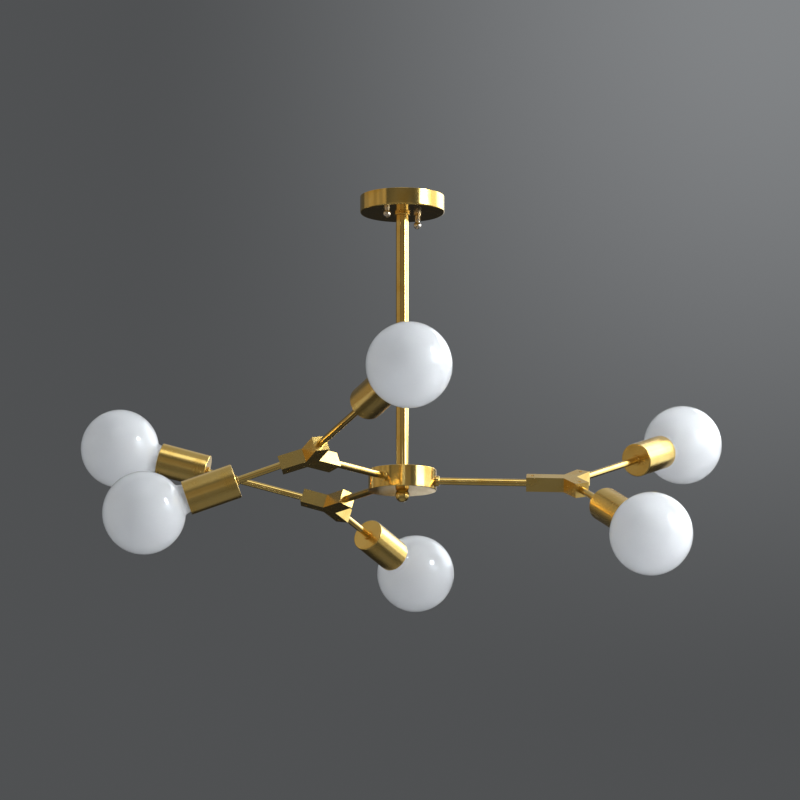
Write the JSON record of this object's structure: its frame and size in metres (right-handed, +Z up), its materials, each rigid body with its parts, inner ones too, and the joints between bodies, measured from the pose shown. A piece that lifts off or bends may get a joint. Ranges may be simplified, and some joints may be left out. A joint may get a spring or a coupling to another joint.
{
  "type": "semi-flush ceiling light",
  "caption": "Ceiling light with a round canopy and stem, a drum hub and swivelling Y branches that carry opal globe lamps in brass cups.",
  "frame": {"origin": "middle of the bracket's ceiling face, between the two ceiling screw holes", "axes": "+Z up to the ceiling, +X along the arm with the lowest-hanging lamp, +Y completing a right-handed frame"},
  "size_m": [0.778, 0.82, 0.478],
  "materials": {
    "polished_brass": "satin-polished, lacquered",
    "brushed_brass": "fine-brushed flat faces",
    "dark_brass": "darkened",
    "zinc_steel": "zinc plated",
    "opal_glass": "gloss opal, cased white",
    "lamp_cap": "rolled, plain",
    "plated_contact": "nickel plated",
    "holder_plastic": "moulded",
    "terminal_plastic": "moulded",
    "green_screw": "painted"
  },
  "bodies": {
    "fixture": {"mounting_bracket": "zinc_steel", "bracket_studs": "zinc_steel", "ground_screw": "green_screw", "terminal_block": "terminal_plastic", "canopy": "polished_brass", "canopy_cap_nuts": "polished_brass", "canopy_ring": "polished_brass", "top_nipple": "zinc_steel", "nipple_nuts": "zinc_steel", "stem": "polished_brass", "hub_nipple": "zinc_steel", "hub_shell": "polished_brass", "hub_cover": "polished_brass", "hub_finial": "polished_brass", "arm_nuts": "zinc_steel", "arm_rod_1": "polished_brass", "arm_rod_2": "polished_brass", "arm_rod_3": "polished_brass"},
    "branch_1": {"connector_1": "brushed_brass", "grub_screws_1": "dark_brass", "long_rod_1": "polished_brass", "short_rod_1": "polished_brass", "long_cup_1": "polished_brass", "short_cup_1": "polished_brass", "cup_nuts_1": "polished_brass", "long_holder_1": "holder_plastic", "short_holder_1": "holder_plastic", "holder_contacts_1": "plated_contact"},
    "branch_2": {"connector_2": "brushed_brass", "grub_screws_2": "dark_brass", "long_rod_2": "polished_brass", "short_rod_2": "polished_brass", "long_cup_2": "polished_brass", "short_cup_2": "polished_brass", "cup_nuts_2": "polished_brass", "long_holder_2": "holder_plastic", "short_holder_2": "holder_plastic", "holder_contacts_2": "plated_contact"},
    "branch_3": {"connector_3": "brushed_brass", "grub_screws_3": "dark_brass", "long_rod_3": "polished_brass", "short_rod_3": "polished_brass", "long_cup_3": "polished_brass", "short_cup_3": "polished_brass", "cup_nuts_3": "polished_brass", "long_holder_3": "holder_plastic", "short_holder_3": "holder_plastic", "holder_contacts_3": "plated_contact"},
    "long_bulb_1": {"long_bulb_glass_1": "opal_glass", "long_bulb_cap_1": "lamp_cap"},
    "short_bulb_1": {"short_bulb_glass_1": "opal_glass", "short_bulb_cap_1": "lamp_cap"},
    "long_bulb_2": {"long_bulb_glass_2": "opal_glass", "long_bulb_cap_2": "lamp_cap"},
    "short_bulb_2": {"short_bulb_glass_2": "opal_glass", "short_bulb_cap_2": "lamp_cap"},
    "long_bulb_3": {"long_bulb_glass_3": "opal_glass", "long_bulb_cap_3": "lamp_cap"},
    "short_bulb_3": {"short_bulb_glass_3": "opal_glass", "short_bulb_cap_3": "lamp_cap"}
  },
  "joints": [
    {"name": "branch_1_swivel", "type": "hinge", "parent": "fixture", "child": "branch_1", "pos_m": [0, 0, -0.341], "axis": [-0.5, -0.866, 0], "range_deg": [-170, 170]},
    {"name": "branch_2_swivel", "type": "hinge", "parent": "fixture", "child": "branch_2", "pos_m": [0, 0, -0.341], "axis": [-0.5, 0.866, 0], "range_deg": [-170, 170]},
    {"name": "branch_3_swivel", "type": "hinge", "parent": "fixture", "child": "branch_3", "pos_m": [0, 0, -0.341], "axis": [0.9996, 0, -0.0279], "range_deg": [-170, 170]},
    {"name": "long_bulb_1_out", "type": "slide", "parent": "branch_1", "child": "long_bulb_1", "axis": [0.4771, -0.8509, 0.2199], "range_m": [0, 0.04]},
    {"name": "short_bulb_1_out", "type": "slide", "parent": "branch_1", "child": "short_bulb_1", "axis": [-0.9433, -0.0324, -0.3304], "range_m": [0, 0.04]},
    {"name": "long_bulb_2_out", "type": "slide", "parent": "branch_2", "child": "long_bulb_2", "axis": [-0.9626, 0.0216, 0.27], "range_m": [0, 0.04]},
    {"name": "short_bulb_2_out", "type": "slide", "parent": "branch_2", "child": "short_bulb_2", "axis": [0.4872, 0.8141, -0.3162], "range_m": [0, 0.04]},
    {"name": "long_bulb_3_out", "type": "slide", "parent": "branch_3", "child": "long_bulb_3", "axis": [0.5083, 0.8057, 0.304], "range_m": [0, 0.04]},
    {"name": "short_bulb_3_out", "type": "slide", "parent": "branch_3", "child": "short_bulb_3", "axis": [0.4866, -0.757, -0.4362], "range_m": [0, 0.04]}
  ]
}
